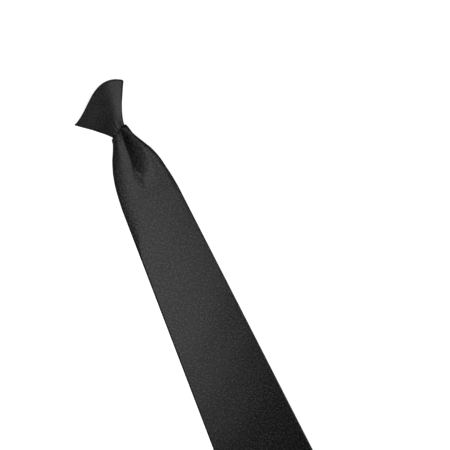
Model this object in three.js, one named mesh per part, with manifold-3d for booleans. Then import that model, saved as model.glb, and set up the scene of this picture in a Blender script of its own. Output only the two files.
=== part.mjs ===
// Clip-on necktie, lying face up: a moulded four-in-hand knot, a folded blade with a dimple below
// the knot, the lining that shows at the back of the point, and the steel clip behind the knot.
// Millimetres. +Y runs up the tie to the knot, +X to the right of its face, +Z out of its face.
import * as THREE from "three";
import { mergeVertices } from "three/addons/utils/BufferGeometryUtils.js";
import Module from "manifold-3d";

const wasm = await Module();
wasm.setup();

// Whole tie
const tieLength = 508; // top of the knot to the point
const pieceGap = 0.3; // clearance between pieces that lie against each other

// Blade: one piece of cloth folded to a flat tube, with its two edges meeting down the back
const bladeWidth = 88; // at the shoulders, where the point begins
const neckWidth = 49; // where the gathers have opened out
const gatherLength = 60; // mouth of the knot to the end of the gathers
const pointLength = 44; // shoulders to point
const bladeThickness = 4;
const shellWall = 1.1; // shell cloth with its share of the interlining
const seamGap = 0.8; // between the two edges on the back
const flapOpening = 76; // point to where the back edges begin to part
const hemWidth = 8; // turned-in edge left beside the lining at the shoulders
const tongueLength = 9; // gathered end held inside the knot
const dimpleDepth = 6;
const dimpleSide = -0.8; // the dimple's crease, to the left of the middle
const landing = 78; // mouth of the knot to where the blade lies on the table
const softRun = 55; // end of the gathers to where the blade is pressed flat

// Knot: cloth over a thin moulded form, open at the top and at the mouth
const knotWidth = 52.3; // wing to wing
const wingHeight = 26; // mouth to the wings
const crown = 8; // rise of the front edge between the wings
const crownSkew = 1; // how far the rise leans to the right wing
const knotBackHeight = 23; // mouth to the top edge of the back wall
const knotLean = 3.6; // the wings' middle, to the right of the mouth
const knotTurn = THREE.MathUtils.degToRad(18.4); // knot's own line, turned left from the blade's
const knotDepth = 20; // front to back at the wings
const mouthWidth = 13;
const mouthDepth = 13;
const mouthSide = -2; // mouth's middle, left of the blade's middle line
const mouthSlant = THREE.MathUtils.degToRad(30); // mouth's edge against the blade's cross line
const knotWall = 1.6;
const knotFlare = 1.3; // power with which the sides open towards the wings
const knotEdgeRound = 3;
const knotCrest = 0.58; // the front's highest line, from the middle (0) towards the right wing (1)
const knotLeftPower = 1.6; // front to the left of the crest: 1 is flat, 2 an ellipse
const knotRightPower = 2.2;

// Clip: one bent strip of spring steel, hooked over the knot's back wall
const clipSteel = 1;
const collarGap = 5; // room for the collar between prongs and knot
const clipWidth = 18;
const clipSlot = 6; // between the two prongs
const clipPlateLength = 12; // inside the knot
const prongLength = 15;
const prongRound = 2.5;

// Lining of the point
const liningThickness = 1;
const liningLap = 16; // how far it reaches above the place where the flaps part
const liningPointGap = 15; // from the tie's point

const knotBack = clipSteel + collarGap; // height of the knot's back face above the table
const flatHalf = bladeThickness / 2;
const slantShare = Math.cos(mouthSlant) / Math.cos(mouthSlant - knotTurn);
const tongueHalfWidth = (mouthWidth / 2 - knotWall - 2.5 * pieceGap) * slantShare;
const tongueHalfDepth = mouthDepth / 2 - knotWall - 3.5 * pieceGap;
const tongueMiddle = knotBack + mouthDepth / 2;

// The gathers, from the knot's mouth (along 0) to their end (along 1). left and right are half
// widths as shares of half the neck width, height is 1 where the blade is as thick as in the
// mouth and 0 where it is flat, dimple is a share of dimpleDepth, leftRoll and rightRoll are the
// breadths in which the front rounds off to its sides, as shares of the half widths.
const gathers = [
  { along: 0.035, left: 0.18, right: 0.18, height: 1.0, dimple: 0.5, leftRoll: 0.85, rightRoll: 0.85 },
  { along: 0.06, left: 0.33, right: 0.31, height: 1.0, dimple: 0.8, leftRoll: 0.6, rightRoll: 0.5 },
  { along: 0.09, left: 0.38, right: 0.33, height: 1.05, dimple: 0.92, leftRoll: 0.55, rightRoll: 0.4 },
  { along: 0.14, left: 0.44, right: 0.36, height: 1.05, dimple: 1.0, leftRoll: 0.5, rightRoll: 0.32 },
  { along: 0.2, left: 0.52, right: 0.42, height: 1.0, dimple: 1.0, leftRoll: 0.5, rightRoll: 0.26 },
  { along: 0.3, left: 0.64, right: 0.55, height: 0.9, dimple: 0.88, leftRoll: 0.5, rightRoll: 0.2 },
  { along: 0.4, left: 0.73, right: 0.69, height: 0.8, dimple: 0.7, leftRoll: 0.5, rightRoll: 0.17 },
  { along: 0.54, left: 0.84, right: 0.81, height: 0.66, dimple: 0.42, leftRoll: 0.5, rightRoll: 0.14 },
  { along: 0.7, left: 0.93, right: 0.88, height: 0.52, dimple: 0.16, leftRoll: 0.5, rightRoll: 0.12 },
  { along: 0.85, left: 0.98, right: 0.94, height: 0.43, dimple: 0.03, leftRoll: 0.52, rightRoll: 0.12 },
  { along: 1.0, left: 1.02, right: 0.98, height: 0.36, dimple: 0.0, leftRoll: 0.53, rightRoll: 0.12 },
];
const grooveLeft = 0.3; // breadth of the dimple's left wall, a share of the left half width
const grooveRight = 0.85;

// Value of one column of a table, on a smooth curve through its rows.
function column(rows, name, along) {
  const last = rows.length - 1;
  const at = THREE.MathUtils.clamp(along, rows[0].along, rows[last].along);
  let i = 0;
  while (i < last - 1 && at > rows[i + 1].along) i += 1;
  const slope = (j) => {
    const low = rows[Math.max(j - 1, 0)];
    const high = rows[Math.min(j + 1, last)];
    return (high[name] - low[name]) / (high.along - low.along);
  };
  const span = rows[i + 1].along - rows[i].along;
  const t = (at - rows[i].along) / span;
  const start = rows[i][name];
  const end = rows[i + 1][name];
  return (
    (1 + 2 * t) * (1 - t) ** 2 * start +
    t * (1 - t) ** 2 * span * slope(i) +
    t * t * (3 - 2 * t) * end +
    t * t * (t - 1) * span * slope(i + 1)
  );
}

// Evenly spaced numbers from one value to another, the last one left out.
function steps(from, to, count) {
  return Array.from({ length: count }, (_, i) => from + ((to - from) * i) / count);
}

// A closed wall of even thickness. rows is a grid of points of its outer face: each row runs
// across the piece, and joins end to end if it is a ring.
function wallGeometry(rows, thickness, isRing) {
  const across = rows[0].length;
  const wrap = (i) => (isRing ? (i + across) % across : THREE.MathUtils.clamp(i, 0, across - 1));
  const point = (j, i) => rows[THREE.MathUtils.clamp(j, 0, rows.length - 1)][wrap(i)];
  const inner = rows.map((row, j) =>
    row.map((p, i) => {
      const alongRow = point(j, i + 1).clone().sub(point(j, i - 1));
      const downRows = point(j + 1, i).clone().sub(point(j - 1, i));
      const outward = downRows.cross(alongRow).normalize();
      return p.clone().addScaledVector(outward, -thickness);
    }),
  );
  const vertices = [...rows.flat(), ...inner.flat()];
  const outerAt = (j, i) => j * across + wrap(i);
  const innerAt = (j, i) => rows.length * across + outerAt(j, i);
  const faces = [];
  const quad = (a, b, c, d) => faces.push(a, c, b, a, d, c);
  const spans = isRing ? across : across - 1;
  for (let j = 0; j < rows.length - 1; j += 1) {
    for (let i = 0; i < spans; i += 1) {
      quad(outerAt(j, i), outerAt(j, i + 1), outerAt(j + 1, i + 1), outerAt(j + 1, i));
      quad(innerAt(j, i), innerAt(j + 1, i), innerAt(j + 1, i + 1), innerAt(j, i + 1));
    }
  }
  const lastRow = rows.length - 1;
  for (let i = 0; i < spans; i += 1) {
    quad(outerAt(0, i), innerAt(0, i), innerAt(0, i + 1), outerAt(0, i + 1));
    quad(outerAt(lastRow, i), outerAt(lastRow, i + 1), innerAt(lastRow, i + 1), innerAt(lastRow, i));
  }
  if (!isRing) {
    const end = across - 1;
    for (let j = 0; j < lastRow; j += 1) {
      quad(outerAt(j, 0), outerAt(j + 1, 0), innerAt(j + 1, 0), innerAt(j, 0));
      quad(outerAt(j, end), innerAt(j, end), innerAt(j + 1, end), outerAt(j + 1, end));
    }
  }
  const positions = vertices.flatMap((p) => [p.x, p.y, p.z]);
  const geometry = new THREE.BufferGeometry();
  geometry.setAttribute("position", new THREE.Float32BufferAttribute(positions, 3));
  geometry.setIndex(faces);
  geometry.computeVertexNormals();
  return geometry;
}

// The knot's front edge above the mouth, for a place from -1 at the left wing to 1 at the right.
function frontEdge(across) {
  const arch = Math.max(1 - across * across, 0) ** 0.7;
  return wingHeight + crown * arch * (1 + crownSkew * across);
}

// The knot's back edge dips between the wings.
function backEdge(across) {
  return knotBackHeight + (wingHeight - knotBackHeight) * across ** 4;
}

const mouthSlope = Math.tan(mouthSlant - knotTurn); // in the knot's own frame
const knotPeak = Math.max(
  ...steps(-1, 1, 60).map((across) => {
    const x = knotLean + (across * knotWidth) / 2;
    return x * Math.sin(knotTurn) + frontEdge(across) * Math.cos(knotTurn);
  }),
);
const bladeLength = tieLength - knotPeak;
const shoulders = bladeLength - pointLength;

// One ring of the knot's outer face, from its mouth (up 0) to its top edge (up 1).
function knotRing(up) {
  const half = THREE.MathUtils.lerp(mouthWidth / 2, knotWidth / 2, up ** knotFlare);
  const middle = knotLean * up;
  const depth = THREE.MathUtils.lerp(mouthDepth, knotDepth, up);
  const round = Math.min(knotEdgeRound, half * 0.5);
  const place = (x, z, top) => {
    const across = (x - middle) / half;
    const foot = mouthSlope * across * (mouthWidth / 2);
    return new THREE.Vector3(x, THREE.MathUtils.lerp(foot, top(across), up), knotBack + z);
  };
  const shaped = THREE.MathUtils.smoothstep(up, 0, 0.5);
  const crest = knotCrest * shaped;
  const front = steps(0, Math.PI, 26).map((angle) => {
    const isRight = angle < Math.PI / 2;
    const power = THREE.MathUtils.lerp(2.2, isRight ? knotRightPower : knotLeftPower, shaped);
    const sideways = Math.abs(Math.cos(angle)) ** (2 / power);
    const across = isRight ? crest + sideways * (1 - crest) : crest - sideways * (1 + crest);
    const rise = Math.sin(angle) ** (2 / power);
    return place(middle + half * across, round + (depth - round) * rise, frontEdge);
  });
  const corner = (side, from, to) =>
    steps(from, to, 4).map((angle) =>
      place(
        middle + side * (half - round) + round * Math.cos(angle),
        round + round * Math.sin(angle),
        backEdge,
      ),
    );
  const back = steps(-1, 1, 8).map((share) =>
    place(middle + share * (half - round), 0, backEdge),
  );
  return [
    ...front,
    ...corner(-1, Math.PI, 1.5 * Math.PI),
    ...back,
    ...corner(1, 1.5 * Math.PI, 2 * Math.PI),
  ];
}

function knotGeometry() {
  const ups = [...steps(0, 0.5, 8), ...steps(0.5, 1, 5), 1];
  return wallGeometry(ups.map(knotRing), knotWall, true);
}

// Half widths, half thickness, side rolls and dimple of the blade at a distance below the mouth.
function bladeSection(below) {
  const along = below / gatherLength;
  const past = Math.max(below - gatherLength, 0);
  const taper = Math.min(past / (shoulders - gatherLength), 1);
  const toPoint = Math.max((below - shoulders) / pointLength, 0);
  const pressed = THREE.MathUtils.smoothstep(past, 0, softRun);
  const thinned = THREE.MathUtils.smoothstep(toPoint, 0.75, 1);
  const flat = THREE.MathUtils.lerp(flatHalf, shellWall + 0.05, thinned);
  const height = column(gathers, "height", along) * (1 - pressed);
  const thick = THREE.MathUtils.lerp(flat, tongueHalfDepth, height);
  const side = (name) => {
    const end = (neckWidth / 2) * column(gathers, name, along);
    const open = THREE.MathUtils.lerp(end, bladeWidth / 2, taper);
    const inMouth = below <= gatherLength * gathers[0].along;
    const half = inMouth ? tongueHalfWidth : THREE.MathUtils.lerp(open, shellWall + seamGap, toPoint);
    const soft = column(gathers, `${name}Roll`, along) * (past > 0 ? end : half);
    const roll = THREE.MathUtils.lerp(soft, flatHalf, pressed);
    return { half, roll: Math.min(roll, half - seamGap) };
  };
  const dimple = dimpleDepth * column(gathers, "dimple", along);
  return { left: side("left"), right: side("right"), thick, dimple };
}

// Where each back edge lies beside the middle: the edges meet, part above the point, and leave
// a hem beside the lining.
function flapEdge(below, half) {
  const start = bladeLength - flapOpening;
  const wide = bladeWidth / 2 - hemWidth;
  const parting = ((below - start) / (shoulders - start)) * wide;
  return Math.max(Math.min(parting, half - hemWidth), seamGap / 2);
}

// Fall of the blade from the knot to the table.
function bladeMiddle(below, thick) {
  const lift = tongueMiddle - tongueHalfDepth;
  return thick + lift * (1 - THREE.MathUtils.smoothstep(below, 0, landing));
}

// One line of points round the blade's outer face, from back edge to back edge.
function bladeLine(below) {
  const { left, right, thick, dimple } = bladeSection(below);
  const middle = bladeMiddle(below, thick);
  const slant = Math.tan(mouthSlant) * Math.max(1 - Math.max(below, 0) / (gatherLength * 0.53), 0) ** 2;
  const opening = Math.max(1 - Math.max(below, 0) / (gatherLength / 3), 0);
  const offset = mouthSide * opening ** 2 + Math.min(below, 0) * Math.tan(knotTurn);
  const crease = dimpleSide - offset;
  const place = (x, z) => {
    const reach = x < crease ? left.half * grooveLeft : right.half * grooveRight;
    const fade = Math.max(1 - Math.abs(x - crease) / reach, 0) ** 2;
    const dip = dimple * fade * Math.max(z / thick, 0);
    return new THREE.Vector3(offset + x, slant * x - below, middle + z - dip);
  };
  // The widest line of the side folds is low, because the back lies flat and the front is rounded.
  const settled = THREE.MathUtils.smoothstep(below, 0, gatherLength / 4);
  const widest = (Math.min(flatHalf, thick) - thick) * settled;
  const fold = ({ half, roll }, sign) => {
    const backRoll = Math.min(THREE.MathUtils.lerp(roll, flatHalf, settled), roll);
    const backQuarter = steps(0, 1, 3).map((share) => {
      const angle = (share * Math.PI) / 2;
      const x = half - backRoll + backRoll * Math.sin(angle);
      return place(sign * x, widest - (thick + widest) * Math.cos(angle));
    });
    const frontQuarter = [...steps(0, 1, 5), 1].map((share) => {
      const angle = (share * Math.PI) / 2;
      const x = half - roll + roll * Math.cos(angle);
      return place(sign * x, widest + (thick - widest) * Math.sin(angle));
    });
    const flapSteps = steps(flapEdge(below, half), half - backRoll, 4);
    const flap = flapSteps.map((x) => place(sign * x, -thick));
    return [...flap, ...backQuarter, ...frontQuarter];
  };
  const frontLeft = left.roll - left.half;
  const frontRight = right.half - right.roll;
  const split = THREE.MathUtils.clamp(crease, frontLeft + seamGap / 4, frontRight - seamGap / 4);
  const acrossFront = [...steps(frontLeft, split, 6), ...steps(split, frontRight, 11)];
  const front = acrossFront.map((x) => place(x, thick));
  return [...fold(left, -1), ...front.slice(1), ...fold(right, 1).reverse()];
}

function bladeGeometry() {
  const stations = [
    ...steps(-tongueLength, 0, 2),
    ...steps(0, gatherLength * 0.21, 6),
    ...steps(gatherLength * 0.21, gatherLength, 10),
    ...steps(gatherLength, gatherLength + softRun, 5),
    ...steps(gatherLength + softRun, bladeLength - flapOpening, 4),
    ...steps(bladeLength - flapOpening, shoulders, 2),
    ...steps(shoulders, bladeLength, 8),
    bladeLength,
  ];
  return wallGeometry(stations.map(bladeLine), shellWall, false);
}

// The lining shows at the back of the point, between the parted flaps.
function liningGeometry() {
  const top = -(bladeLength - flapOpening - liningLap);
  const sideGap = shellWall + pieceGap + liningThickness;
  const bottom = -(bladeLength - liningPointGap);
  const halfAt = (below) => bladeSection(below).left.half - sideGap;
  const outline = new THREE.Shape();
  outline.moveTo(-halfAt(-top), top);
  outline.lineTo(-halfAt(shoulders), -shoulders);
  outline.lineTo(-halfAt(-bottom), bottom);
  outline.lineTo(halfAt(-bottom), bottom);
  outline.lineTo(halfAt(shoulders), -shoulders);
  outline.lineTo(halfAt(-top), top);
  outline.closePath();
  const lining = new THREE.ExtrudeGeometry(outline, { depth: liningThickness, bevelEnabled: false });
  lining.translate(0, 0, flatHalf - liningThickness / 2);
  return lining;
}

// A closed geometry as a solid that can be cut.
function toSolid(geometry) {
  const bare = geometry.clone();
  bare.deleteAttribute("normal");
  bare.deleteAttribute("uv");
  const merged = mergeVertices(bare, 1e-4);
  return new wasm.Manifold(
    new wasm.Mesh({
      numProp: 3,
      vertProperties: merged.attributes.position.array,
      triVerts: new Uint32Array(merged.index.array),
    }),
  );
}

function toGeometry(solid) {
  const mesh = solid.getMesh();
  const geometry = new THREE.BufferGeometry();
  geometry.setAttribute("position", new THREE.BufferAttribute(mesh.vertProperties, 3));
  geometry.setIndex(new THREE.BufferAttribute(mesh.triVerts, 1));
  geometry.computeVertexNormals();
  return geometry;
}

// Steel strip in side view: prongs on the table, a bend over the knot's back edge, and a plate
// inside the knot. It is then given its plan, with round corners and a slot between the prongs.
function clipGeometry() {
  const plateTop = knotBack + knotWall + pieceGap + clipSteel;
  const bendOuter = plateTop / 2;
  const bendInner = bendOuter - clipSteel;
  const bendAt = knotBackHeight;
  const prongEnd = bendAt - prongLength;
  const side = new THREE.Shape();
  side.moveTo(prongEnd, 0);
  side.lineTo(bendAt, 0);
  side.absarc(bendAt, bendOuter, bendOuter, -Math.PI / 2, Math.PI / 2, false);
  side.lineTo(bendAt - clipPlateLength, plateTop);
  side.lineTo(bendAt - clipPlateLength, plateTop - clipSteel);
  side.lineTo(bendAt, plateTop - clipSteel);
  side.absarc(bendAt, bendOuter, bendInner, Math.PI / 2, -Math.PI / 2, true);
  side.lineTo(prongEnd, clipSteel);
  side.closePath();
  const strip = new THREE.ExtrudeGeometry(side, {
    depth: clipWidth,
    bevelEnabled: false,
    curveSegments: 12,
  });
  const upTheKnot = new THREE.Vector3(0, 1, 0);
  const outOfFace = new THREE.Vector3(0, 0, 1);
  const acrossKnot = new THREE.Vector3(1, 0, 0);
  strip.applyMatrix4(new THREE.Matrix4().makeBasis(upTheKnot, outOfFace, acrossKnot));
  strip.translate(-clipWidth / 2, 0, 0);

  const half = clipWidth / 2;
  const beyond = bendAt + bendOuter + clipSteel;
  const plan = new THREE.Shape();
  plan.moveTo(half, beyond);
  plan.lineTo(-half, beyond);
  plan.lineTo(-half, prongEnd + prongRound);
  plan.absarc(prongRound - half, prongEnd + prongRound, prongRound, Math.PI, 1.5 * Math.PI, false);
  plan.lineTo(half - prongRound, prongEnd);
  plan.absarc(half - prongRound, prongEnd + prongRound, prongRound, 1.5 * Math.PI, 2 * Math.PI, false);
  plan.closePath();
  const planBlock = new THREE.ExtrudeGeometry(plan, {
    depth: plateTop + 2 * clipSteel,
    bevelEnabled: false,
    curveSegments: 6,
  });
  planBlock.translate(0, 0, -clipSteel);

  const slotHalf = clipSlot / 2;
  const slotTop = bendAt - clipSteel - slotHalf;
  const slot = new THREE.Shape();
  slot.moveTo(-slotHalf - prongRound, prongEnd - clipSteel);
  slot.lineTo(slotHalf + prongRound, prongEnd - clipSteel);
  slot.quadraticCurveTo(slotHalf, prongEnd, slotHalf, prongEnd + prongRound);
  slot.lineTo(slotHalf, slotTop);
  slot.absarc(0, slotTop, slotHalf, 0, Math.PI, false);
  slot.lineTo(-slotHalf, prongEnd + prongRound);
  slot.quadraticCurveTo(-slotHalf, prongEnd, -slotHalf - prongRound, prongEnd - clipSteel);
  const slotBlock = new THREE.ExtrudeGeometry(slot, {
    depth: 3 * clipSteel,
    bevelEnabled: false,
    curveSegments: 8,
  });
  slotBlock.translate(0, 0, -clipSteel);
  return toGeometry(toSolid(strip).intersect(toSolid(planBlock)).subtract(toSolid(slotBlock)));
}

const cloth = new THREE.MeshStandardMaterial({ color: 0x2b2b2d, roughness: 0.85, metalness: 0 });
const liningCloth = new THREE.MeshStandardMaterial({ color: 0x1d1d1f, roughness: 0.55, metalness: 0 });
const steel = new THREE.MeshStandardMaterial({ color: 0xc9cbcd, roughness: 0.28, metalness: 1 });

function piece(name, geometry, material) {
  const mesh = new THREE.Mesh(geometry, material);
  mesh.name = name;
  return mesh;
}

const knot = new THREE.Group();
knot.add(piece("knot_wrap", knotGeometry(), cloth));
const clip = piece("collar_clip", clipGeometry(), steel);
clip.position.x = knotLean / 2;
knot.add(clip);
knot.position.x = mouthSide;
knot.rotation.z = knotTurn;

const tie = new THREE.Group();
tie.add(knot);
tie.add(piece("blade", bladeGeometry(), cloth));
tie.add(piece("point_lining", liningGeometry(), liningCloth));

// The origin is on the table, under the middle of the tie's outline.
const bounds = new THREE.Box3().setFromObject(tie);
const middle = bounds.getCenter(new THREE.Vector3());
tie.position.set(-middle.x, -middle.y, -bounds.min.z);

export default tie;
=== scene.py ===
# A clip-on necktie in charcoal twill, lying face up on a pale table: dimpled blade, ready-made
# knot, satin lining at the back of the point, steel collar clip and the stitches that hold them.
import math

import bpy
import numpy as np
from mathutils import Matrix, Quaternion, Vector


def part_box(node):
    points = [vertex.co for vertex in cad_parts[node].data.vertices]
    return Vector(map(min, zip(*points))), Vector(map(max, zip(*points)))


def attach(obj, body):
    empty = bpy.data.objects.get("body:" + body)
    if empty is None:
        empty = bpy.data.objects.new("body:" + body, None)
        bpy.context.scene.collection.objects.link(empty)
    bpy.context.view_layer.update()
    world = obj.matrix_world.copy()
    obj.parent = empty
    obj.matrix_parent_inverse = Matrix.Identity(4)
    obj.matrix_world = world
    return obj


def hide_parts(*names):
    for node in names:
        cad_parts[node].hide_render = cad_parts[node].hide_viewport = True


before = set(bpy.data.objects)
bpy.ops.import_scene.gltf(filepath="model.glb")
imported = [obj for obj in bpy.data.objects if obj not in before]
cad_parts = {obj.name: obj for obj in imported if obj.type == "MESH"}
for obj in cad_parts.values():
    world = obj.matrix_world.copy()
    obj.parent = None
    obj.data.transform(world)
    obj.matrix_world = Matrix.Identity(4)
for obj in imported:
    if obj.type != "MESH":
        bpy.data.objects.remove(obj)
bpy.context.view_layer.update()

bl_info = {
    "name": "Clip-on tie",
    "version": (1, 0, 0),
    "blender": (4, 5, 0),
    "location": "3D View > Sidebar > Tie",
    "description": "Builds a pre-knotted necktie with its clip, lining and stitches",
    "category": "Add Mesh",
}

# Fixed details of the make. Lengths are in metres, as in the whole scene.
PIECE_GAP = 0.0003
SHELL_WALL = 0.0011  # shell cloth with its share of the interlining
SEAM_GAP = 0.0008  # between the two edges on the back
LAYER_GAP = 0.00005  # half the room between the blade's two layers at its point
HEM_WIDTH = 0.008
LINING_WALL = 0.0005
LINING_LIFT = 0.00035  # its face, above the lowest point of its solid
LINING_INSET = SHELL_WALL + PIECE_GAP + 0.001  # from the blade's side to the lining's
LINING_TIP = 0.002  # half its width at the tip
LINING_HELD = 0.004  # distance from its edge over which the stitches hold it flat
COLLAR_ROOM = 0.005  # between the clip's prongs and the back of the knot
TONGUE_LENGTH = 0.009  # gathered end held inside the knot
TONGUE_SLACK = 3.5 * PIECE_GAP  # between it and the wall of the mouth
TONGUE_TAPER = 0.4  # share by which it thins just inside the mouth
TONGUE_STEP = (-0.0009, 0.0022)  # distances inside the mouth between which it thins
SOFT_RUN = 0.042  # end of the gathers to where the blade is pressed flat
PRESSED_ROLL = 0.0015  # breadth of the turn at a pressed edge
POINT_RUN = (0.75, 1.0)  # places along the point between which it thins to its two layers
TAB_LIFT = 0.0009  # the blade's right corner, drawn up beside the knot
TAB_RUN = 0.01  # mouth of the knot to where the corner's lift has died out
LANDING = 0.078  # mouth of the knot to where the blade lies on the table
KNOT_WALL = 0.0016
KNOT_EDGE_ROUND = 0.003
KNOT_FLARE = {-1: 1.12, 1: 1.35}  # powers with which the left and right sides open to the wings
CREST_ROUND = 0.3  # breadth of the turn over the knot's crest, a share of its left slope
MOUTH_DROOP = 0.0004  # the corners of the knot's mouth hang this far over the blade
KNOT_SLOPE = 0.42  # fall of the knot's left face for each metre from its crest
CLIP_STEEL = 0.001
THREAD = 0.00028  # sewing thread, across
STITCH_DEPTH = 0.00022  # path of the back seam's thread, inside the face of the cloth
SEAM_START = 0.02  # mouth of the knot to the first stitch of the back seam
BAR_TACK = (-0.004, 0.001)  # its ends, from where the back edges part
HEM_STITCHES = (0.008, -0.016)  # their ends, from where the edges part and from the point
PATH_STEP = 0.002
WAVE_REPEAT = 0.314  # distance between the bands of a wave texture at scale 1

# Heights of the cloth's small relief
RELIEF = {
    "pleats at the mouth": 0.00022,
    "pulls below the mouth": 0.00007,
    "pressed waves": 0.00011,
    "short waves": 0.00006,
    "waves of the sides": 0.00008,
    "creases of the knot": 0.00016,
    "wraps of the knot": 0.00014,
    "waves of the lining": 0.00022,
}

# How many points the parts of a mesh have
EDGE_STEPS = 5  # round the rim of a sheet
BLADE_STEPS = {"turn": 9, "flap": 23, "roll": 18, "left": 33, "right": 57}
KNOT_STEPS = {"front": 128, "corner": 10, "back": 44, "low": 18, "high": 34}
KNOT_LOW = 0.3  # share of the knot's height that has its low lines, the rest has the high ones
LINING_STEPS = {"along": 70, "across": 90}
MOUTH_RUN = 0.016  # below the mouth, where the blade's lines are closest

# The gathers, from the knot's mouth (along 0) to their end (along 1). left and right are half
# widths as shares of half the neck width, height is 1 where the blade is as thick as in the
# mouth and 0 where it is flat, dimple is a share of the dimple's depth, left_roll and right_roll
# are the breadths in which the front rounds off to its sides, as shares of the half widths.
GATHER_COLUMNS = ("along", "left", "right", "height", "dimple", "left_roll", "right_roll")
GATHERS = [
    (0.014, 0.18, 0.18, 1.0, 0.2, 0.85, 0.85),
    (0.019, 0.29, 0.28, 1.0, 0.25, 0.65, 0.6),
    (0.028, 0.325, 0.305, 1.0, 0.32, 0.6, 0.5),
    (0.05, 0.35, 0.325, 1.03, 0.45, 0.58, 0.45),
    (0.09, 0.38, 0.34, 1.05, 0.75, 0.6, 0.4),
    (0.14, 0.44, 0.36, 1.07, 1.0, 0.62, 0.32),
    (0.2, 0.52, 0.42, 1.05, 1.0, 0.66, 0.26),
    (0.3, 0.64, 0.55, 1.0, 0.98, 0.72, 0.2),
    (0.4, 0.73, 0.69, 1.0, 0.9, 0.76, 0.17),
    (0.54, 0.84, 0.81, 0.95, 0.66, 0.8, 0.14),
    (0.7, 0.93, 0.88, 0.88, 0.25, 0.84, 0.12),
    (0.85, 0.98, 0.94, 0.74, 0.03, 0.84, 0.12),
    (1.0, 1.02, 0.98, 0.5, 0.0, 0.78, 0.12),
]
GROOVE_LEFT = (0.165, 0.3)  # breadth of the dimple's left wall, above and below, as shares
GROOVE_LEFT_RUN = (0.35, 0.75)  # places along the gathers between which it widens
GROOVE_RIGHT = (0.0042, 0.0112)  # breadth of its right wall, at the mouth and below, in metres
GROOVE_RIGHT_RUN = (0.0, 0.3)  # the same for the right wall
GROOVE_POWERS = (1.8, 1.45)  # with which the left and right walls steepen to the crease

# Shares of the gathers' length, from the mouth, over which its form gives way to the blade's
SETTLE_RUN = 0.25  # the round back, which turns flat
OPENING_RUN = 1 / 3  # the mouth's place to the left
SLANT_RUN = 0.53  # the mouth's slant

# The knot's front. Its form at the wings is the full one, and is eased towards the mouth.
EASED = (-0.3, 0.5)  # shares of the knot's height between which the full form is reached
CREST_AT_MOUTH = 0.5  # how far the crest lies to the right, as a share of the full distance
SLOPE_AT_MOUTH = 0.7  # fall of the left face, as a share of the full fall
LEFT_SQUARE = 0.9  # 1 is round, less is squarer
RIGHT_SQUARE = (0.5, 0.12)  # the same down the right side, at the mouth and in full
LEFT_RIM = 16  # power with which the left face rounds off to its edge
SLOPED = 0.9  # share that the even slope has in the left face, the rest is round
ARCH_POWER = 0.9  # of the front's top edge between the wings

# The twill's grain: its levels run from the darkest thread to the lightest
GRAIN_MIDDLE = 0.54
GRAIN_REACH = (0.06, 0.26)  # below and above the middle, at full contrast

# The picture. A lamp's place and aim are measured from the picture's middle along its sides and
# up from the table, in metres, its power is in watts and its turn is about its own line.
PHOTO_ROLL = math.radians(23.9)  # the blade's line against the picture's upright
PHOTO_MIDDLE = (0.0836, -0.0762)  # from the mouth of the knot, to the right and up
CAMERA_HEIGHT = 8.0
LAMP_COLUMNS = "right up above aim_right aim_up width length power turn".split()
LAMPS = {
    "key softbox": (1.2, 0.45, 0.95, 0.0, 0.0, 0.5, 0.5, 6.0, 0.0),
    "fill card": (-0.72, -0.92, 0.9, 0.0, 0.0, 1.2, 1.2, 2.2, 0.0),
    "overhead softbox": (-0.063, -0.044, 0.17, -0.063, -0.044, 0.1, 0.3, 0.235, 0.214 - PHOTO_ROLL),
}


def linear(code):
    """An sRGB hex colour as linear RGBA."""
    values = [int(code[i : i + 2], 16) / 255 for i in (1, 3, 5)]
    return [v / 12.92 if v <= 0.04045 else ((v + 0.055) / 1.055) ** 2.4 for v in values] + [1.0]


def length(name, default, description):
    return bpy.props.FloatProperty(
        name=name,
        description=description,
        default=default,
        min=0.0,
        precision=5,
        subtype="DISTANCE",
        unit="LENGTH",
    )


def share(name, default, description):
    return bpy.props.FloatProperty(
        name=name, description=description, default=default, min=0.0, max=3.0, subtype="FACTOR"
    )


def angle(name, default, description):
    return bpy.props.FloatProperty(
        name=name,
        description=description,
        default=math.radians(default),
        subtype="ANGLE",
        unit="ROTATION",
    )


def colour(name, code, description):
    return bpy.props.FloatVectorProperty(
        name=name,
        description=description,
        default=linear(code),
        size=4,
        min=0.0,
        max=1.0,
        subtype="COLOR",
    )


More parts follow.
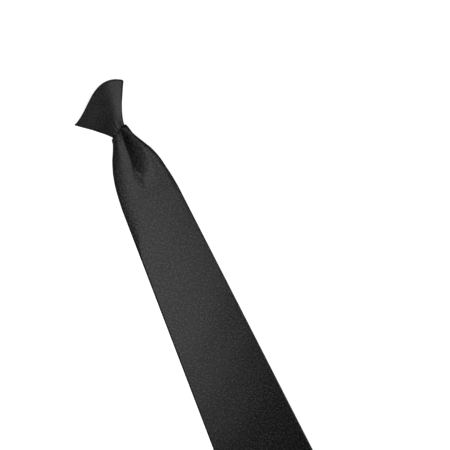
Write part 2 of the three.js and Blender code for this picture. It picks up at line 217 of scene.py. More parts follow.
class TieSizes(bpy.types.PropertyGroup):
    blade_width: length("Blade width", 0.088, "Across the shoulders, where the point begins")
    blade_length: length("Blade length", 0.46832, "Mouth of the knot to the point")
    blade_thickness: length("Blade thickness", 0.004, "Pressed flat, with both layers")
    neck_width: length("Neck width", 0.049, "Where the gathers have opened out")
    gather_length: length("Gather length", 0.06, "Mouth of the knot to the end of the gathers")
    point_length: length("Point length", 0.044, "Shoulders to point")
    flap_opening: length("Flap opening", 0.076, "Point to where the back edges part")
    dimple_depth: length("Dimple depth", 0.006, "Deepest part of the fold below the knot")
    dimple_side: length("Dimple side", 0.0004, "The crease, to the right of the middle")
    knot_width: length("Knot width", 0.0523, "Wing to wing")
    wing_height: length("Wing height", 0.026, "Mouth of the knot to its wings")
    crown: length("Crown", 0.008, "Rise of the knot's front edge between the wings")
    knot_back: length("Knot back height", 0.023, "Mouth to the top edge of the knot's back wall")
    knot_lean: length("Knot lean", 0.0036, "The wings' middle, to the right of the mouth")
    knot_turn: angle("Knot turn", 18.4, "The knot's own line, turned left from the blade's")
    knot_depth: length("Knot depth", 0.02, "Front to back at the wings")
    knot_crest: share("Knot crest", 0.85, "Highest line, from the middle to the right wing")
    mouth_width: length("Mouth width", 0.0141, "Across the knot's lower opening")
    mouth_depth: length("Mouth depth", 0.013, "Front to back at the knot's lower opening")
    mouth_side: length("Mouth side", 0.002, "Mouth's middle, left of the blade's middle line")
    mouth_slant: angle("Mouth slant", 24.0, "Mouth's edge against the blade's cross line")
    stitch_spacing: length("Stitch spacing", 0.006, "Between slip stitches down the back")
    thread_spacing: length("Thread spacing", 0.0009, "Rib to rib of the twill, drawn coarse")


class TieColours(bpy.types.PropertyGroup):
    warp: colour("Warp", "#050505", "Dark threads of the twill")
    weft: colour("Weft", "#414141", "Lighter threads that speckle the twill")
    lining: colour("Lining", "#161618", "Satin at the back of the point")
    thread: colour("Thread", "#1c1c1c", "Sewing thread")
    steel: colour("Steel", "#c9c9c6", "Nickel-plated clip")
    table: colour("Table", "#bcbcbc", "Pale floor under the tie")


def smoothstep(value, low, high):
    t = np.clip((value - low) / (high - low), 0.0, 1.0)
    return t * t * (3 - 2 * t)


def mix(a, b, t):
    return a + (b - a) * t


def gather(name, along):
    """Value of one column of the table of gathers, on a smooth curve through its rows."""
    at = [row[0] for row in GATHERS]
    values = [row[GATHER_COLUMNS.index(name)] for row in GATHERS]
    along = min(max(along, at[0]), at[-1])
    last = len(at) - 1
    i = 0
    while i < last - 1 and along > at[i + 1]:
        i += 1

    def slope(j):
        low, high = max(j - 1, 0), min(j + 1, last)
        return (values[high] - values[low]) / (at[high] - at[low])

    span = at[i + 1] - at[i]
    t = (along - at[i]) / span
    return (
        (1 + 2 * t) * (1 - t) ** 2 * values[i]
        + t * (1 - t) ** 2 * span * slope(i)
        + t * t * (3 - 2 * t) * values[i + 1]
        + t * t * (t - 1) * span * slope(i + 1)
    )


# Meshes


def unit(vectors):
    return vectors / np.maximum(np.linalg.norm(vectors, axis=-1, keepdims=True), 1e-12)


def cloth_normals(lines, joined):
    """Outward directions of a sheet given as lines of points, side by side."""
    if joined:
        sweep = np.roll(lines, -1, axis=0) - np.roll(lines, 1, axis=0)
    else:
        sweep = np.gradient(lines, axis=0)
    along = np.gradient(lines, axis=1)
    return unit(np.cross(sweep, along)), unit(along)


def end_caps(count, size, across):
    """Faces that close the first and the last line of an open sheet. Each line has size points
    round its wall, across of them on the outer face."""
    caps = []
    for row, flip in ((0, False), (count - 1, True)):
        start = row * size
        inner_end = start + across + EDGE_STEPS
        strip = [
            [start + i, start + i + 1, inner_end + across - 2 - i, inner_end + across - 1 - i]
            for i in range(across - 1)
        ]
        strip.append([start + across - 1 + i for i in range(EDGE_STEPS + 2)])
        strip.append([start] + [start + size - 1 - i for i in range(EDGE_STEPS + 1)][::-1])
        caps += [face[::-1] if flip else face for face in strip]
    return caps


def cloth_object(name, lines, uv, wall, joined, material, turn_uv=(0.0, 0.0)):
    """A closed sheet of even thickness with rounded edges. lines are its outer face; where they
    are joined, the last line meets the first."""
    normals, along = cloth_normals(lines, joined)
    inner = lines - wall * normals
    arc = math.pi * np.arange(1, EDGE_STEPS + 1) / (EDGE_STEPS + 1)

    def edge(i, sign):
        middle = (lines[:, i] + inner[:, i])[:, None] / 2
        outward = sign * along[:, i][:, None]
        round_it = np.cos(arc)[None, :, None] * normals[:, i][:, None]
        return middle + wall / 2 * (round_it + np.sin(arc)[None, :, None] * outward)

    loop = np.concatenate([lines, edge(-1, 1), inner[:, ::-1], edge(0, -1)[:, ::-1]], axis=1)
    end_uv = np.repeat(uv[:, -1:], EDGE_STEPS, axis=1)
    start_uv = np.repeat(uv[:, :1], EDGE_STEPS, axis=1)
    loop_uv = np.concatenate([uv, end_uv, uv[:, ::-1], start_uv], axis=1)
    count, size = loop.shape[:2]
    rows = count if joined else count - 1
    here = np.arange(rows)[:, None] * size + np.arange(size)[None, :]
    right = (np.arange(rows)[:, None] + 1) % count * size + np.arange(size)[None, :]
    quads = np.stack([here, right, np.roll(right, -1, 1), np.roll(here, -1, 1)], axis=2)
    uv_right = np.roll(loop_uv, -1, axis=0)[:rows].copy()
    if joined:
        uv_right[-1] += turn_uv
    corners = [loop_uv[:rows], uv_right, np.roll(uv_right, -1, 1), np.roll(loop_uv[:rows], -1, 1)]
    face_uv = np.stack(corners, axis=2).reshape(-1, 2)
    faces = quads.reshape(-1, 4).tolist()
    if not joined:
        caps = end_caps(count, size, lines.shape[1])
        flat_uv = loop_uv.reshape(-1, 2)
        face_uv = np.concatenate([face_uv] + [flat_uv[face] for face in caps])
        faces += caps
    mesh = bpy.data.meshes.new(name)
    mesh.from_pydata(loop.reshape(-1, 3).tolist(), [], faces)
    layer = mesh.uv_layers.new(name="cloth")
    layer.data.foreach_set("uv", face_uv.ravel())
    mesh.shade_smooth()
    mesh.materials.append(material)
    return link_object(name, mesh)


def link_object(name, data):
    item = bpy.data.objects.new(name, data)
    bpy.context.scene.collection.objects.link(item)
    return item


# The blade


def mouth_place():
    """The middle of the knot's mouth, on the table."""
    sizes = bpy.context.scene.tie_sizes
    return np.array([0.0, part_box("blade")[0].y + sizes.blade_length, 0.0])


def tongue_half(sizes):
    """Half width and half depth of the gathered end where it is held inside the knot."""
    slant = math.cos(sizes.mouth_slant) / math.cos(sizes.mouth_slant - sizes.knot_turn)
    width = (sizes.mouth_width / 2 - KNOT_WALL - TONGUE_SLACK) * slant
    return width, sizes.mouth_depth / 2 - KNOT_WALL - TONGUE_SLACK


def blade_section(sizes, below):
    """Half widths, rolls, half thickness and dimple at a distance below the mouth."""
    shoulders = sizes.blade_length - sizes.point_length
    along = below / sizes.gather_length
    past = max(below - sizes.gather_length, 0)
    taper = min(past / (shoulders - sizes.gather_length), 1)
    to_point = max((below - shoulders) / sizes.point_length, 0)
    pressed = smoothstep(past, 0, SOFT_RUN)
    thinned = smoothstep(to_point, *POINT_RUN)
    flat_half = sizes.blade_thickness / 2
    flat = mix(flat_half, SHELL_WALL + LAYER_GAP, thinned)
    tongue_width, tongue_depth = tongue_half(sizes)
    thick = mix(flat, tongue_depth, gather("height", along) * (1 - pressed))
    thick *= 1 - TONGUE_TAPER * smoothstep(-below, *TONGUE_STEP)

    def side(name):
        end = sizes.neck_width / 2 * gather(name, along)
        open_half = mix(end, sizes.blade_width / 2, taper)
        in_mouth = below <= sizes.gather_length * GATHERS[0][0]
        half = tongue_width if in_mouth else mix(open_half, SHELL_WALL + SEAM_GAP, to_point)
        soft = gather(name + "_roll", along) * (end if past > 0 else half)
        roll = mix(soft, PRESSED_ROLL, pressed)
        return half, min(roll, half - SEAM_GAP)

    return side("left"), side("right"), thick, sizes.dimple_depth * gather("dimple", along)


def flap_edge(sizes, below, half):
    """Where a back edge lies beside the middle: it parts from the other above the point."""
    start = sizes.blade_length - sizes.flap_opening
    shoulders = sizes.blade_length - sizes.point_length
    wide = sizes.blade_width / 2 - HEM_WIDTH
    parting = (below - start) / (shoulders - start) * wide
    return max(min(parting, half - HEM_WIDTH), SEAM_GAP / 2)


def blade_heights(sizes, below, thick):
    """Middle height of the blade, and where it is in the mouth's slanted opening."""
    lift = CLIP_STEEL + COLLAR_ROOM + sizes.mouth_depth / 2 - tongue_half(sizes)[1]
    middle = thick + lift * (1 - smoothstep(below, 0, LANDING))
    deep = max(below, 0)
    slant = math.tan(sizes.mouth_slant) * max(1 - deep / (sizes.gather_length * SLANT_RUN), 0) ** 2
    opening = max(1 - deep / (sizes.gather_length * OPENING_RUN), 0)
    offset = -sizes.mouth_side * opening**2 + min(below, 0) * math.tan(sizes.knot_turn)
    return middle, slant, offset


def blade_side(sizes, below, half, roll, thick):
    """One side of a line, from the back edge round the folded side to the front."""
    flat_half = sizes.blade_thickness / 2
    settled = smoothstep(below, 0, sizes.gather_length * SETTLE_RUN)
    widest = (min(flat_half, thick) - thick) * settled
    back_roll = min(mix(roll, flat_half, settled), roll)
    turn = np.linspace(0, math.pi / 2, BLADE_STEPS["turn"])[:-1]
    inner = flap_edge(sizes, below, half)
    flap = np.linspace(inner, half - back_roll, BLADE_STEPS["flap"])[:-1]
    rise = np.linspace(0, math.pi / 2, BLADE_STEPS["roll"])
    back_x = half - back_roll + back_roll * np.sin(turn)
    back_z = widest - (thick + widest) * np.cos(turn)
    front_x = half - roll + roll * np.cos(rise)
    front_z = widest + (thick - widest) * np.sin(rise)
    x = np.concatenate([flap, back_x, front_x])
    return x, np.concatenate([np.full(len(flap), -thick), back_z, front_z])


def dimple_share(sizes, below, x, crease, left, right):
    """Depth of the dimple on both sides of its crease, as a share of its depth in it."""
    along = below / sizes.gather_length
    reach_left = left * mix(*GROOVE_LEFT, smoothstep(along, *GROOVE_LEFT_RUN))
    reach_right = min(mix(*GROOVE_RIGHT, smoothstep(along, *GROOVE_RIGHT_RUN)), right)
    reach = np.where(x < crease, reach_left, reach_right)
    return np.clip(1 - np.abs(x - crease) / reach, 0, None) ** np.where(x < crease, *GROOVE_POWERS)


def blade_line(sizes, below):
    """One line of points round the blade's outer face, from back edge to back edge, with how far
    each is on the front and across the blade."""
    (left, left_roll), (right, right_roll), thick, dimple = blade_section(sizes, below)
    middle, slant, offset = blade_heights(sizes, below, thick)
    crease = sizes.dimple_side - offset
    low, high = left_roll - left, right - right_roll
    split = min(max(crease, low + SEAM_GAP / 4), high - SEAM_GAP / 4)
    left_front = np.linspace(low, split, BLADE_STEPS["left"])[1:]
    right_front = np.linspace(split, high, BLADE_STEPS["right"])[1:-1]
    left_x, left_z = blade_side(sizes, below, left, left_roll, thick)
    right_x, right_z = blade_side(sizes, below, right, right_roll, thick)
    front_z = np.full(len(left_front) + len(right_front), thick)
    x = np.concatenate([-left_x, left_front, right_front, right_x[::-1]])
    z = np.concatenate([left_z, front_z, right_z[::-1]])
    dip = dimple * dimple_share(sizes, below, x, crease, left, right) * np.clip(z / thick, 0, None)
    tab = TAB_LIFT * max(1 - max(below, 0) / TAB_RUN, 0) ** 2 * np.clip(x / right, 0, 1) ** 2
    points = np.stack([offset + x, slant * x + tab - below, middle + z - dip], axis=1)
    return points, np.clip(z / thick, 0, 1), x / max(left, right)


def blade_stations(sizes):
    shoulders = sizes.blade_length - sizes.point_length
    parting = sizes.blade_length - sizes.flap_opening
    pressed = sizes.gather_length + SOFT_RUN
    stops = (  # from, to and how many lines between them
        (-TONGUE_LENGTH, 0.0, 8),
        (0.0, MOUTH_RUN, 36),
        (MOUTH_RUN, sizes.gather_length, 52),
        (sizes.gather_length, pressed, 34),
        (pressed, parting, 48),
        (parting, shoulders, 12),
        (shoulders, sizes.blade_length, 24),
    )
    parts = [np.linspace(low, high, count, endpoint=False) for low, high, count in stops]
    return np.concatenate(parts + [[sizes.blade_length]])


def blade_relief(stations, on_front, across):
    """Small gathers at the mouth, and the slow waves of cloth that was pressed by hand."""
    below = stations[:, None]
    near = np.exp(-np.clip(below, 0, None) / 0.008) * smoothstep(below, -0.004, 0.002)
    pleats = RELIEF["pleats at the mouth"] * near * np.sin(13.0 * across + 1.1 + 40 * below)
    far = np.exp(-np.clip(below, 0, None) / 0.03)
    pulls = RELIEF["pulls below the mouth"] * far * np.sin(21.0 * across + 70 * below)
    settled = smoothstep(below, 0.03, 0.12)
    slow = np.sin(below * 71 + 1.3) * np.sin(across * 2.3 + 0.7 + below * 9)
    short = np.sin(below * 154 + across * 3.1 + 0.4)
    side = np.abs(across) ** 3 * np.sin(below * 230 + np.sign(across) * 0.9)
    waves = RELIEF["pressed waves"] * slow + RELIEF["short waves"] * short
    waves += RELIEF["waves of the sides"] * side
    return on_front * (pleats + pulls + settled * waves)


def make_blade(material):
    sizes = bpy.context.scene.tie_sizes
    stations = blade_stations(sizes)
    rows = [blade_line(sizes, below) for below in stations]
    lines = np.stack([row[0] for row in rows])
    on_front = np.stack([row[1] for row in rows])
    across = np.stack([row[2] for row in rows])
    normals = cloth_normals(lines, False)[0]
    lines = lines + normals * blade_relief(stations, on_front, across)[..., None]
    steps = np.linalg.norm(np.diff(lines, axis=1), axis=2)
    arc = np.concatenate([np.zeros((len(lines), 1)), np.cumsum(steps, axis=1)], axis=1)
    arc -= arc.mean(axis=1, keepdims=True)
    uv = np.stack([arc, np.broadcast_to(-stations[:, None], arc.shape)], axis=2)
    blade = cloth_object("blade_cloth", lines + mouth_place(), uv, SHELL_WALL, False, material)
    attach(blade, "root")
    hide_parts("blade")
    return blade


# The knot


def knot_front_edge(sizes, across):
    arch = max(1 - across * across, 0) ** ARCH_POWER
    return sizes.wing_height + sizes.crown * arch * (1 + across)


def knot_back_edge(sizes, across):
    return sizes.knot_back + (sizes.wing_height - sizes.knot_back) * across**4


def knot_half(sizes, up, side):
    """Half width of the knot to the left or right of its own middle."""
    power = KNOT_FLARE[1 if side > 0 else -1]
    return mix(sizes.mouth_width / 2, sizes.knot_width / 2, up**power)


def corner_round(half):
    """Round of the knot's edges, smaller where the knot is narrow."""
    return min(KNOT_EDGE_ROUND, half * 0.5)


def knot_front(sizes, up, place, depth):
    """A place over the front: how far it is from the knot's middle, its height, and the first
    as a share of the half width."""
    formed = smoothstep(up, *EASED)
    crest = sizes.knot_crest * mix(CREST_AT_MOUTH, 1, formed)
    on_left = place >= math.pi / 2
    square = LEFT_SQUARE if on_left else mix(*RIGHT_SQUARE, formed)
    sideways = abs(math.cos(place)) ** square
    rise = max(math.sin(place), 0) ** square
    reach = crest + sideways * (-(1 + crest) if on_left else 1 - crest)
    half = knot_half(sizes, up, reach)
    edge = corner_round(half)
    if on_left:
        slope = KNOT_SLOPE * mix(SLOPE_AT_MOUTH, 1, formed)
        fall = min(slope * half * (1 + crest) / (depth - edge), 1)
        turned = math.hypot(sideways, CREST_ROUND) - CREST_ROUND
        turned /= math.hypot(1, CREST_ROUND) - CREST_ROUND
        rounded = math.sqrt(1 - min(sideways, 1) ** LEFT_RIM)
        rise = mix(rise, (1 - fall * turned) * rounded, SLOPED)
    return half * reach, edge + (depth - edge) * rise, reach


def knot_point(sizes, up, spot):
    """A point of the knot's outer face, from its mouth (up 0) to its top edge (up 1)."""
    kind, place, sign = spot
    top = knot_back_edge
    if kind == "front":
        depth = mix(sizes.mouth_depth, sizes.knot_depth, up)
        x, z, across = knot_front(sizes, up, place, depth)
        top = knot_front_edge
    elif kind == "corner":
        half = knot_half(sizes, up, sign)
        edge = corner_round(half)
        x = sign * (half - edge) + edge * math.cos(place)
        z = edge + edge * math.sin(place)
        across = x / half
    else:
        half = knot_half(sizes, up, place)
        x, z = place * (half - corner_round(half)), 0.0
        across = x / half
    across = min(max(across, -1), 1)
    slope = math.tan(sizes.mouth_slant - sizes.knot_turn)
    foot = slope * across * sizes.mouth_width / 2 - MOUTH_DROOP * across**4
    y = mix(foot, top(sizes, across), up)
    return (sizes.knot_lean * up + x, y, CLIP_STEEL + COLLAR_ROOM + z)


def knot_spots():
    """Places round the knot: over the front from left to right, and back behind."""
    corner = KNOT_STEPS["corner"]
    turns = np.linspace(math.pi, 0, KNOT_STEPS["front"], endpoint=False)
    right = np.linspace(0, -math.pi / 2, corner, endpoint=False)
    back = np.linspace(1, -1, KNOT_STEPS["back"], endpoint=False)
    left = np.linspace(-math.pi / 2, -math.pi, corner, endpoint=False)
    spots = [("front", t, 0) for t in turns] + [("corner", t, 1) for t in right]
    return spots + [("back", t, 0) for t in back] + [("corner", t, -1) for t in left]


def knot_relief(lines):
    """Fine creases that fan out of the mouth, and the soft unevenness of wrapped cloth."""
    steps = np.linalg.norm(np.diff(lines[:, 0], axis=0, append=lines[:1, 0]), axis=1)
    turn = (np.cumsum(steps) / steps.sum())[:, None] * 2 * math.pi
    height = np.linalg.norm(lines - lines[:, :1], axis=2)
    creases = np.exp(-height / 0.008) * np.sin(17 * turn + 0.5)
    wraps = np.sin(3 * turn + 150 * height) * np.sin(190 * height + 2 * turn)
    wraps = wraps * smoothstep(height, 0.004, 0.016)
    return RELIEF["creases of the knot"] * creases + RELIEF["wraps of the knot"] * wraps


def make_knot(material):
    sizes = bpy.context.scene.tie_sizes
    spots = knot_spots()
    low = np.linspace(0, KNOT_LOW, KNOT_STEPS["low"], endpoint=False)
    ups = np.concatenate([low, np.linspace(KNOT_LOW, 1, KNOT_STEPS["high"])])
    lines = np.array([[knot_point(sizes, up, spot) for up in ups] for spot in spots])
    lines = lines + cloth_normals(lines, True)[0] * knot_relief(lines)[..., None]
    cos, sin = math.cos(sizes.knot_turn), math.sin(sizes.knot_turn)
    x = lines[..., 0] * cos - lines[..., 1] * sin - sizes.mouth_side
    y = lines[..., 0] * sin + lines[..., 1] * cos
    lines = np.stack([x, y, lines[..., 2]], axis=2) + mouth_place()
    middle = lines[:, len(ups) // 2]
    steps = np.linalg.norm(np.diff(middle, axis=0, append=middle[:1]), axis=1)
    arc = np.concatenate([[0.0], np.cumsum(steps)])
    rise = np.linalg.norm(np.diff(lines, axis=1), axis=2)
    height = np.concatenate([np.zeros((len(lines), 1)), np.cumsum(rise, axis=1)], axis=1)
    uv = np.stack([np.broadcast_to(arc[:-1, None], height.shape), height], axis=2)
    knot = cloth_object("knot_cloth", lines, uv, KNOT_WALL, True, material, (arc[-1], 0.0))
    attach(knot, "root")
    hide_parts("knot_wrap")
    return knot


# Lining, clip and stitches


def make_lining(material):
    """Satin between the parted flaps, drawn into shallow waves by its slip stitches."""
    sizes = bpy.context.scene.tie_sizes
    low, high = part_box("point_lining")
    mouth = mouth_place()[1]
    rows = np.linspace(high.y, low.y, LINING_STEPS["along"])
    lines = []
    for y in rows:
        (half, _), _, _, _ = blade_section(sizes, mouth - y)
        reach = max(half - LINING_INSET, LINING_TIP)
        x = np.linspace(reach, -reach, LINING_STEPS["across"])
        waves = np.sin(x * 420 + y * 60) * np.sin(y * 330 + 1.1)
        waves = waves * smoothstep(reach - np.abs(x), 0.0, LINING_HELD)
        z = low.z + LINING_LIFT + RELIEF["waves of the lining"] * waves
        lines.append(np.stack([x, np.full(len(x), y), z], axis=1))
    lines = np.array(lines)
    uv = lines[..., :2].copy()
    lining = cloth_object("lining_cloth", lines, uv, LINING_WALL, False, material)
    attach(lining, "root")
    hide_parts("point_lining")
    return lining


def make_clip(material):
    """The clip's own solid with its edges rounded, as a tumbled stamping has them."""
    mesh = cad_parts["collar_clip"].data.copy()
    mesh.name = "clip_strip"
    mesh.materials.clear()
    clip = link_object("clip_strip", mesh)
    bpy.ops.object.select_all(action="DESELECT")
    bpy.context.view_layer.objects.active = clip
    clip.select_set(True)
    bpy.ops.object.mode_set(mode="EDIT")
    bpy.ops.mesh.select_all(action="SELECT")
    bpy.ops.mesh.remove_doubles(threshold=0.00001)
    bpy.ops.mesh.dissolve_limited(angle_limit=math.radians(1.0))
    bpy.ops.object.mode_set(mode="OBJECT")
    clip.select_set(False)
    bevel = clip.modifiers.new("rounded edges", "BEVEL")
    bevel.width = 0.00022
    bevel.segments = 3
    bevel.limit_method = "ANGLE"
    bevel.angle_limit = math.radians(40)
    bevel.harden_normals = False
    clip.data.materials.append(material)
    apply_modifiers(clip)
    clip.data.shade_smooth()
    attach(clip, "root")
    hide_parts("collar_clip")
    return clip


def apply_modifiers(item):
    """Keeps what the modifiers make as a plain mesh."""
    bpy.context.view_layer.update()
    graph = bpy.context.evaluated_depsgraph_get()
    result = bpy.data.meshes.new_from_object(item.evaluated_get(graph))
    item.modifiers.clear()
    old = item.data
    item.data = result
    result.name = item.name
    bpy.data.meshes.remove(old)


def add_node(tree, kind, inputs=(), **settings):
    """Adds a node with its settings, and sets or links its inputs."""
    node = tree.nodes.new(kind)
    for name, value in settings.items():
        setattr(node, name, value)
    for key, value in dict(inputs).items():
        if isinstance(value, bpy.types.NodeSocket):
            tree.links.new(value, node.inputs[key])
        else:
            node.inputs[key].default_value = value
    return node


def stitch_tree():
    """Stitches along a path: one bent thread for each step, turned with the path."""
    tree = bpy.data.node_groups.new("stitches along a path", "GeometryNodeTree")
    face = tree.interface
    face.new_socket("Path", in_out="INPUT", socket_type="NodeSocketGeometry")
    for name in ("Spacing", "Reach along", "Reach across", "Bow", "Thread"):
        face.new_socket(name, in_out="INPUT", socket_type="NodeSocketFloat")
    face.new_socket("Finish", in_out="INPUT", socket_type="NodeSocketMaterial")
    face.new_socket("Stitches", in_out="OUTPUT", socket_type="NodeSocketGeometry")
    given = add_node(tree, "NodeGroupInput").outputs
    path = add_node(tree, "GeometryNodeMeshToCurve", {"Mesh": given["Path"]})
    points = add_node(
        tree,
        "GeometryNodeCurveToPoints",
        {"Curve": path.outputs["Curve"], "Length": given["Spacing"]},
        mode="LENGTH",
    )
    turn = add_node(
        tree,
        "FunctionNodeAlignRotationToVector",
        {"Vector": points.outputs["Tangent"]},
        axis="X",
        pivot_axis="Z",
    )
    ends = []
    for side in (-0.5, 0.5):
        along = add_node(
            tree, "ShaderNodeMath", {0: given["Reach along"], 1: side}, operation="MULTIPLY"
        )
        across = add_node(
            tree, "ShaderNodeMath", {0: given["Reach across"], 1: side}, operation="MULTIPLY"
        )
        place = {"X": along.outputs[0], "Y": across.outputs[0]}
        ends.append(add_node(tree, "ShaderNodeCombineXYZ", place).outputs[0])
    bow = add_node(tree, "ShaderNodeCombineXYZ", {"Z": given["Bow"]})
    thread = add_node(
        tree,
        "GeometryNodeCurveQuadraticBezier",
        {"Resolution": 6, "Start": ends[0], "Middle": bow.outputs[0], "End": ends[1]},
    )
    ring = add_node(
        tree, "GeometryNodeCurvePrimitiveCircle", {"Resolution": 6, "Radius": given["Thread"]}
    )
    stitch = add_node(
        tree,
        "GeometryNodeCurveToMesh",
        {
            "Curve": thread.outputs["Curve"],
            "Profile Curve": ring.outputs["Curve"],
            "Fill Caps": True,
        },
    )
    copies = add_node(
        tree,
        "GeometryNodeInstanceOnPoints",
        {
            "Points": points.outputs["Points"],
            "Instance": stitch.outputs["Mesh"],
            "Rotation": turn.outputs["Rotation"],
        },
    )
    smooth = add_node(tree, "GeometryNodeSetShadeSmooth", {"Geometry": copies.outputs["Instances"]})
    real = add_node(tree, "GeometryNodeRealizeInstances", {"Geometry": smooth.outputs["Geometry"]})
    finished = add_node(
        tree,
        "GeometryNodeSetMaterial",
        {"Geometry": real.outputs["Geometry"], "Material": given["Finish"]},
    )
    add_node(tree, "NodeGroupOutput", {"Stitches": finished.outputs["Geometry"]})
    return tree


def make_stitches(name, path, tree, values, material):
    """Sews along a path of points and keeps the thread as a plain mesh."""
    mesh = bpy.data.meshes.new(name)
    mesh.from_pydata([tuple(p) for p in path], [(i, i + 1) for i in range(len(path) - 1)], [])
    item = link_object(name, mesh)
    sewing = item.modifiers.new("stitches", "NODES")
    sewing.node_group = tree
    sockets = {s.name: s.identifier for s in tree.interface.items_tree if s.in_out == "INPUT"}
    for key, value in values.items():
        sewing[sockets[key]] = value
    sewing[sockets["Finish"]] = material
    apply_modifiers(item)
    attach(item, "root")
    return item


def seam_path(sizes, start, end):
    """The middle of the back between two distances below the mouth."""
    path = []
    for below in np.arange(start, end, PATH_STEP):
        thick = blade_section(sizes, below)[2]
        middle, _, offset = blade_heights(sizes, below, thick)
        path.append(np.array([offset, -below, middle - thick + STITCH_DEPTH]) + mouth_place())
    return path


def make_seams(material):
    sizes = bpy.context.scene.tie_sizes
    tree = stitch_tree()
    parting = sizes.blade_length - sizes.flap_opening
    slip = {
        "Spacing": sizes.stitch_spacing,
        "Reach along": 0.0012,
        "Reach across": 0.0022,
        "Bow": -0.0001,
        "Thread": THREAD / 2,
    }
    make_stitches("seam_stitches", seam_path(sizes, SEAM_START, parting), tree, slip, material)
    tack = dict(slip, Spacing=0.00032, Bow=-0.0002)
    tack["Reach along"] = 0.0
    tack["Reach across"] = 0.009
    bar = seam_path(sizes, parting + BAR_TACK[0], parting + BAR_TACK[1])
    bar = [point - np.array([0, 0, 0.0001]) for point in bar]
    make_stitches("bar_tack", bar, tree, tack, material)
    hem = dict(slip, Spacing=0.004, Bow=-0.00015)
    hem["Reach along"] = 0.0004
    hem["Reach across"] = 0.0024
    start, end = parting + HEM_STITCHES[0], sizes.blade_length + HEM_STITCHES[1]
    for name, sign in (("hem_stitches_left", -1), ("hem_stitches_right", 1)):
        path = []
        for below in np.arange(start, end, PATH_STEP):
            half = blade_section(sizes, below)[0][0]
            x = sign * flap_edge(sizes, below, half)
            path.append(np.array([x, -below, SHELL_WALL]) + mouth_place())
        make_stitches(name, path, tree, hem, material)


# Finishes


def new_material(name):
    material = bpy.data.materials.new(name)
    material.use_nodes = True
    tree = material.node_tree
    tree.nodes.clear()
    return material, tree


def finish_material(tree, inputs, height=None, distance=0.0001, strength=1.0):
    """Ends a material in one Principled surface, with its relief."""
    if height is not None:
        bump = add_node(
            tree, "ShaderNodeBump", {"Height": height, "Distance": distance, "Strength": strength}
        )
        inputs = dict(inputs, Normal=bump.outputs["Normal"])
    surface = add_node(tree, "ShaderNodeBsdfPrincipled", inputs)
    add_node(tree, "ShaderNodeOutputMaterial", {"Surface": surface.outputs["BSDF"]})


def charcoal_twill(name, contrast):
    """Woven polyester twill, cut on the bias: matt, with fine diagonal ribs and a grain of darker
    and lighter threads. A real rib is about 0.3 mm; it is drawn three times as coarse to show."""
    sizes = bpy.context.scene.tie_sizes
    colours = bpy.context.scene.tie_colours
    material, tree = new_material(name)
    cloth = add_node(tree, "ShaderNodeUVMap", uv_map="cloth").outputs["UV"]
    bias = add_node(
        tree, "ShaderNodeMapping", {"Vector": cloth, "Rotation": (0, 0, math.radians(45))}
    ).outputs["Vector"]
    wave = WAVE_REPEAT / sizes.thread_spacing
    rib = {"Vector": bias, "Scale": wave, "Distortion": 0.4, "Detail": 1.0, "Detail Scale": 2.0}
    ribs = add_node(tree, "ShaderNodeTexWave", rib, bands_direction="X").outputs["Fac"]
    thread = dict(rib, Scale=wave * 1.7, Distortion=0.6)
    threads = add_node(tree, "ShaderNodeTexWave", thread, bands_direction="Y").outputs["Fac"]
    weave = add_node(
        tree, "ShaderNodeMath", {0: ribs, 1: threads}, operation="MULTIPLY"
    ).outputs[0]
    grain = add_node(
        tree,
        "ShaderNodeTexNoise",
        {"Vector": bias, "Scale": 740.0, "Detail": 1.0, "Roughness": 0.5},
    ).outputs["Fac"]
    mixed = add_node(
        tree, "ShaderNodeMath", {0: weave, 1: 0.15, 2: grain}, operation="MULTIPLY_ADD"
    ).outputs[0]
    darkest = GRAIN_MIDDLE - GRAIN_REACH[0] / contrast
    lightest = GRAIN_MIDDLE + GRAIN_REACH[1] / contrast
    spread = add_node(
        tree, "ShaderNodeMapRange", {"Value": mixed, "From Min": darkest, "From Max": lightest}
    ).outputs["Result"]
    tint = add_node(
        tree,
        "ShaderNodeMix",
        {"Factor": spread, 6: tuple(colours.warp), 7: tuple(colours.weft)},
        data_type="RGBA",
    ).outputs[2]
    height = add_node(
        tree, "ShaderNodeMath", {0: grain, 1: 1.5, 2: weave}, operation="MULTIPLY_ADD"
    ).outputs[0]
    surface = {
        "Base Color": tint,
        "Roughness": 0.32,
        "Specular IOR Level": 0.25,
    }
    finish_material(tree, surface, height, 0.00008, 0.6 * contrast)
    return material


def satin_lining():
    """Acetate satin: smooth floats of yarn along one way, so it shines softly across them."""
    colours = bpy.context.scene.tie_colours
    material, tree = new_material("black satin lining")
    cloth = add_node(tree, "ShaderNodeUVMap", uv_map="cloth").outputs["UV"]
    yarn = {"Vector": cloth, "Scale": WAVE_REPEAT / 0.0006, "Distortion": 0.3, "Detail": 1.0}
    floats = add_node(tree, "ShaderNodeTexWave", yarn, bands_direction="X").outputs["Fac"]
    surface = {
        "Base Color": tuple(colours.lining),
        "Roughness": 0.34,
        "Anisotropic": 0.5,
        "Specular IOR Level": 0.5,
    }
    finish_material(tree, surface, floats, 0.00004, 0.5)
    return material


def sewing_thread():
    """Three-ply polyester thread: matt, with the twist of its plies."""
    colours = bpy.context.scene.tie_colours
    material, tree = new_material("polyester sewing thread")
    place = add_node(tree, "ShaderNodeTexCoord").outputs["Object"]
    ply = {"Vector": place, "Scale": WAVE_REPEAT / 0.0004, "Distortion": 0.5}
    plies = add_node(tree, "ShaderNodeTexWave", ply, bands_direction="DIAGONAL").outputs["Fac"]
    surface = {"Base Color": tuple(colours.thread), "Roughness": 0.6}
    finish_material(tree, surface, plies, 0.00004, 0.6)
    return material


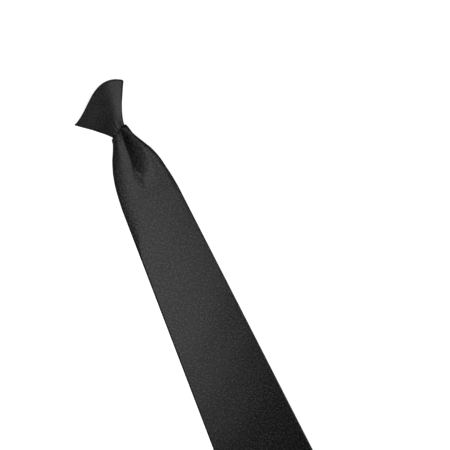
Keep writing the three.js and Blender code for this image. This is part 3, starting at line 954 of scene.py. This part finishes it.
def nickel_plate():
    """Spring steel, stamped, tumbled and nickel-plated: bright, with fine random scratches."""
    colours = bpy.context.scene.tie_colours
    material, tree = new_material("nickel-plated spring steel")
    place = add_node(tree, "ShaderNodeTexCoord").outputs["Object"]
    drawn = add_node(
        tree, "ShaderNodeMapping", {"Vector": place, "Scale": (1.0, 14.0, 14.0)}
    ).outputs["Vector"]
    scratches = add_node(
        tree, "ShaderNodeTexNoise", {"Vector": drawn, "Scale": 300.0, "Detail": 4.0}
    ).outputs["Fac"]
    rough = add_node(
        tree, "ShaderNodeMapRange", {"Value": scratches, "To Min": 0.2, "To Max": 0.36}
    ).outputs["Result"]
    surface = {"Base Color": tuple(colours.steel), "Metallic": 1.0, "Roughness": rough}
    finish_material(tree, surface, scratches, 0.00002, 0.4)
    return material


def pale_table():
    """Matt white laminate, plain all over, with an even glow of its own."""
    colours = bpy.context.scene.tie_colours
    material, tree = new_material("matt white table")
    surface = {
        "Base Color": tuple(colours.table),
        "Roughness": 0.8,
        "Specular IOR Level": 0.1,
        "Emission Color": (1.0, 1.0, 1.0, 1.0),
        "Emission Strength": 0.93,
    }
    finish_material(tree, surface)
    return material


# Table, lights and camera


def make_light(name, middle, right, up):
    """One lamp of the table, placed and aimed from the middle of the picture."""
    lamp = dict(zip(LAMP_COLUMNS, LAMPS[name]))
    place = middle + right * lamp["right"] + up * lamp["up"] + Vector((0, 0, lamp["above"]))
    target = middle + right * lamp["aim_right"] + up * lamp["aim_up"]
    light = bpy.data.lights.new(name, "AREA")
    light.shape = "ELLIPSE"
    light.size = lamp["width"]
    light.size_y = lamp["length"]
    light.energy = lamp["power"]
    item = link_object(name, light)
    item.location = place
    aim = (target - place).to_track_quat("-Z", "Y")
    item.rotation_euler = (aim @ Quaternion((0, 0, 1), lamp["turn"])).to_euler()
    item.visible_camera = False


def make_stage():
    """Pale table, one low softbox over the blade with softer light from both sides of it, and
    the camera straight above."""
    right = Vector((math.cos(PHOTO_ROLL), -math.sin(PHOTO_ROLL), 0))
    up = Vector((math.sin(PHOTO_ROLL), math.cos(PHOTO_ROLL), 0))
    middle = Vector(mouth_place()) + right * PHOTO_MIDDLE[0] + up * PHOTO_MIDDLE[1]

    bpy.ops.mesh.primitive_plane_add(size=12.0, location=(0, 0, 0))
    table = bpy.context.object
    table.name = "table"
    table.visible_glossy = False  # keeps its glow out of the cloth's sheen
    table.data.materials.append(pale_table())

    world = bpy.data.worlds.new("studio")
    world.use_nodes = True
    background = world.node_tree.nodes["Background"].inputs
    background["Color"].default_value = (1, 1, 1, 1)
    background["Strength"].default_value = 0.06
    bpy.context.scene.world = world
    bpy.context.scene.view_settings.view_transform = "Standard"
    for name in LAMPS:
        make_light(name, middle, right, up)

    camera = bpy.data.cameras.new("camera")
    camera.sensor_width = 36.0
    camera.lens = 800.0
    camera.clip_end = 20.0
    item = link_object("camera", camera)
    item.location = middle + Vector((0, 0, CAMERA_HEIGHT))
    item.rotation_euler = (0, 0, -PHOTO_ROLL)
    bpy.context.scene.camera = item


# Operators


class TIE_OT_blade(bpy.types.Operator):
    """Folds the blade's cloth, with its gathers, dimple and back seam"""

    bl_idname = "tie.blade"
    bl_label = "Blade"

    def execute(self, context):
        make_blade(charcoal_twill("charcoal polyester twill", 1.0))
        return {"FINISHED"}


class TIE_OT_knot(bpy.types.Operator):
    """Wraps the cloth of the ready-made knot"""

    bl_idname = "tie.knot"
    bl_label = "Knot"

    def execute(self, context):
        make_knot(charcoal_twill("charcoal polyester twill, pulled smooth", 0.4))
        return {"FINISHED"}


class TIE_OT_lining(bpy.types.Operator):
    """Lays the satin lining behind the point"""

    bl_idname = "tie.lining"
    bl_label = "Lining"

    def execute(self, context):
        make_lining(satin_lining())
        return {"FINISHED"}


class TIE_OT_clip(bpy.types.Operator):
    """Rounds and plates the steel collar clip"""

    bl_idname = "tie.clip"
    bl_label = "Collar clip"

    def execute(self, context):
        make_clip(nickel_plate())
        return {"FINISHED"}


class TIE_OT_stitches(bpy.types.Operator):
    """Sews the back seam, its bar tack and the lining's hem"""

    bl_idname = "tie.stitches"
    bl_label = "Stitches"

    def execute(self, context):
        make_seams(sewing_thread())
        return {"FINISHED"}


class TIE_OT_stage(bpy.types.Operator):
    """Sets the table, the lights and the camera"""

    bl_idname = "tie.stage"
    bl_label = "Table, lights and camera"

    def execute(self, context):
        make_stage()
        return {"FINISHED"}


STEPS = (TIE_OT_blade, TIE_OT_knot, TIE_OT_lining, TIE_OT_clip, TIE_OT_stitches, TIE_OT_stage)


class TIE_PT_panel(bpy.types.Panel):
    """Sizes, colours and steps of the tie"""

    bl_label = "Clip-on tie"
    bl_space_type = "VIEW_3D"
    bl_region_type = "UI"
    bl_category = "Tie"

    def draw(self, context):
        layout = self.layout
        for group in (context.scene.tie_sizes, context.scene.tie_colours):
            box = layout.box()
            for name in group.__annotations__:
                box.prop(group, name)
        for step in STEPS:
            layout.operator(step.bl_idname)


CLASSES = (TieSizes, TieColours, *STEPS, TIE_PT_panel)


def register():
    for item in CLASSES:
        bpy.utils.register_class(item)
    bpy.types.Scene.tie_sizes = bpy.props.PointerProperty(type=TieSizes)
    bpy.types.Scene.tie_colours = bpy.props.PointerProperty(type=TieColours)


def unregister():
    del bpy.types.Scene.tie_colours
    del bpy.types.Scene.tie_sizes
    for item in reversed(CLASSES):
        bpy.utils.unregister_class(item)


def main():
    register()
    bpy.ops.tie.blade()
    bpy.ops.tie.knot()
    bpy.ops.tie.lining()
    bpy.ops.tie.clip()
    bpy.ops.tie.stitches()
    bpy.ops.tie.stage()


if __name__ == "__main__":
    main()
